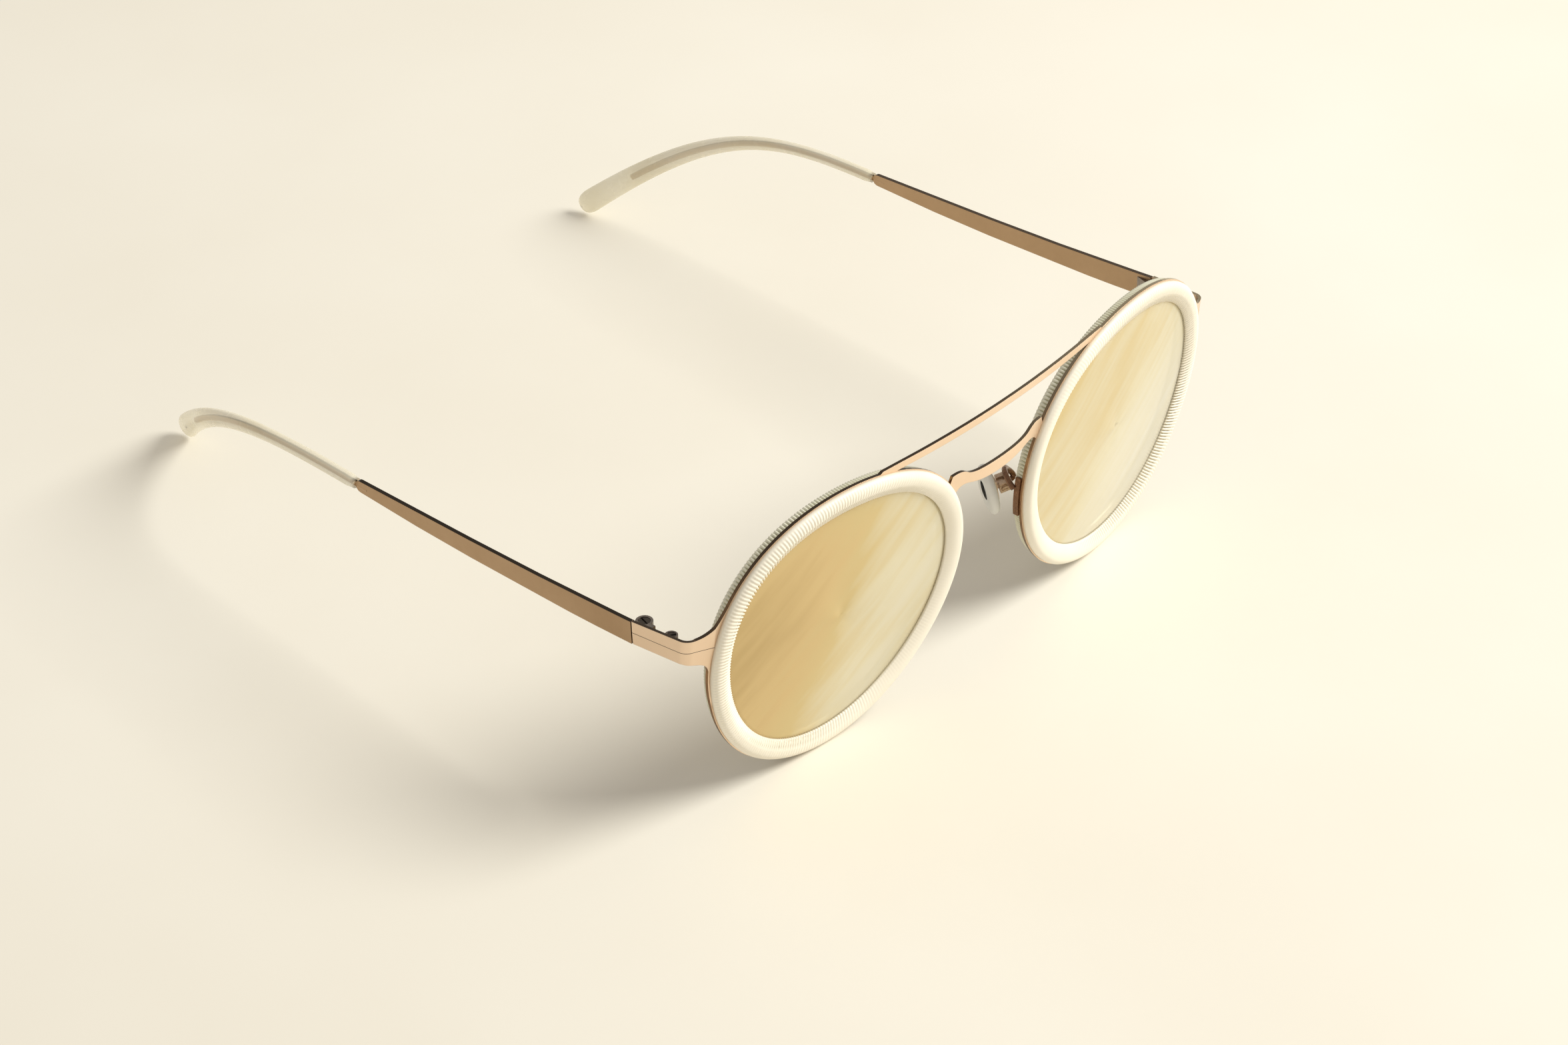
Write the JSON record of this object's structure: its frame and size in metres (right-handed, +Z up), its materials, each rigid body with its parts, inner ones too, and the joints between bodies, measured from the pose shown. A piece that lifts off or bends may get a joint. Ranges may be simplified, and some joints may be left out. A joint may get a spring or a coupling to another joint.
{
  "type": "folding sunglasses",
  "caption": "Round double-bridge sunglasses: thin metal front clamped between ribbed acetate rings, folding temples with curved tips, rocking nose pads.",
  "frame": {"origin": "on the ground under the middle of the sunglasses' box, standing with both temples open", "axes": "+X to the wearer's left, which is the right-hand side seen from in front; +Y back along the temples; +Z up"},
  "size_m": [0.1354, 0.1494, 0.053],
  "materials": {
    "rose_metal": "satin rose-gold coating with dark polished cut edges",
    "cream_acetate": "polished cream, ribbed on its inner face",
    "olive_acetate": "translucent olive-cream, reeded around its edge",
    "mirror_lens": "gold flash mirror",
    "dark_metal": "dark gunmetal",
    "brown_metal": "dark brown plated",
    "pad_metal": "polished",
    "pad_silicone": "clear silicone",
    "tip_acetate": "translucent pale cream"
  },
  "bodies": {
    "front": {"front_plate": "rose_metal", "front_ring_left": "cream_acetate", "front_ring_right": "cream_acetate", "back_ring_left": "olive_acetate", "back_ring_right": "olive_acetate", "lens_left": "mirror_lens", "lens_right": "mirror_lens", "rim_lock_left": "dark_metal", "rim_lock_right": "dark_metal", "rim_lock_screws": "dark_metal", "front_hinge_left": "dark_metal", "front_hinge_right": "dark_metal", "hinge_screws": "dark_metal", "pad_arm_left": "brown_metal", "pad_arm_right": "brown_metal", "pad_box_left": "pad_metal", "pad_box_right": "pad_metal", "pad_screws": "pad_metal"},
    "arm_left": {"temple_left": "rose_metal", "temple_hinge_left": "dark_metal", "temple_tip_left": "tip_acetate"},
    "pad_left": {"pad_mount_left": "pad_metal", "nose_pad_left": "pad_silicone"},
    "arm_right": {"temple_right": "rose_metal", "temple_hinge_right": "dark_metal", "temple_tip_right": "tip_acetate"},
    "pad_right": {"pad_mount_right": "pad_metal", "nose_pad_right": "pad_silicone"}
  },
  "joints": [
    {"name": "temple_fold_left", "type": "hinge", "parent": "front", "child": "arm_left", "pos_m": [-0.06529, -0.05554, 0.03372], "axis": [0, 0.061, 0.9981], "range_deg": [-86, 0]},
    {"name": "temple_fold_right", "type": "hinge", "parent": "front", "child": "arm_right", "pos_m": [0.06529, -0.05554, 0.03372], "axis": [0, 0.061, 0.9981], "range_deg": [0, 78]},
    {"name": "pad_rock_left", "type": "hinge", "parent": "front", "child": "pad_left", "pos_m": [-0.01168, -0.06615, 0.02581], "axis": [-0.4465, 0.8748, 0.188], "range_deg": [-8, 8]},
    {"name": "pad_rock_right", "type": "hinge", "parent": "front", "child": "pad_right", "pos_m": [0.01168, -0.06615, 0.02581], "axis": [0.4465, 0.8748, 0.188], "range_deg": [-8, 8]}
  ]
}
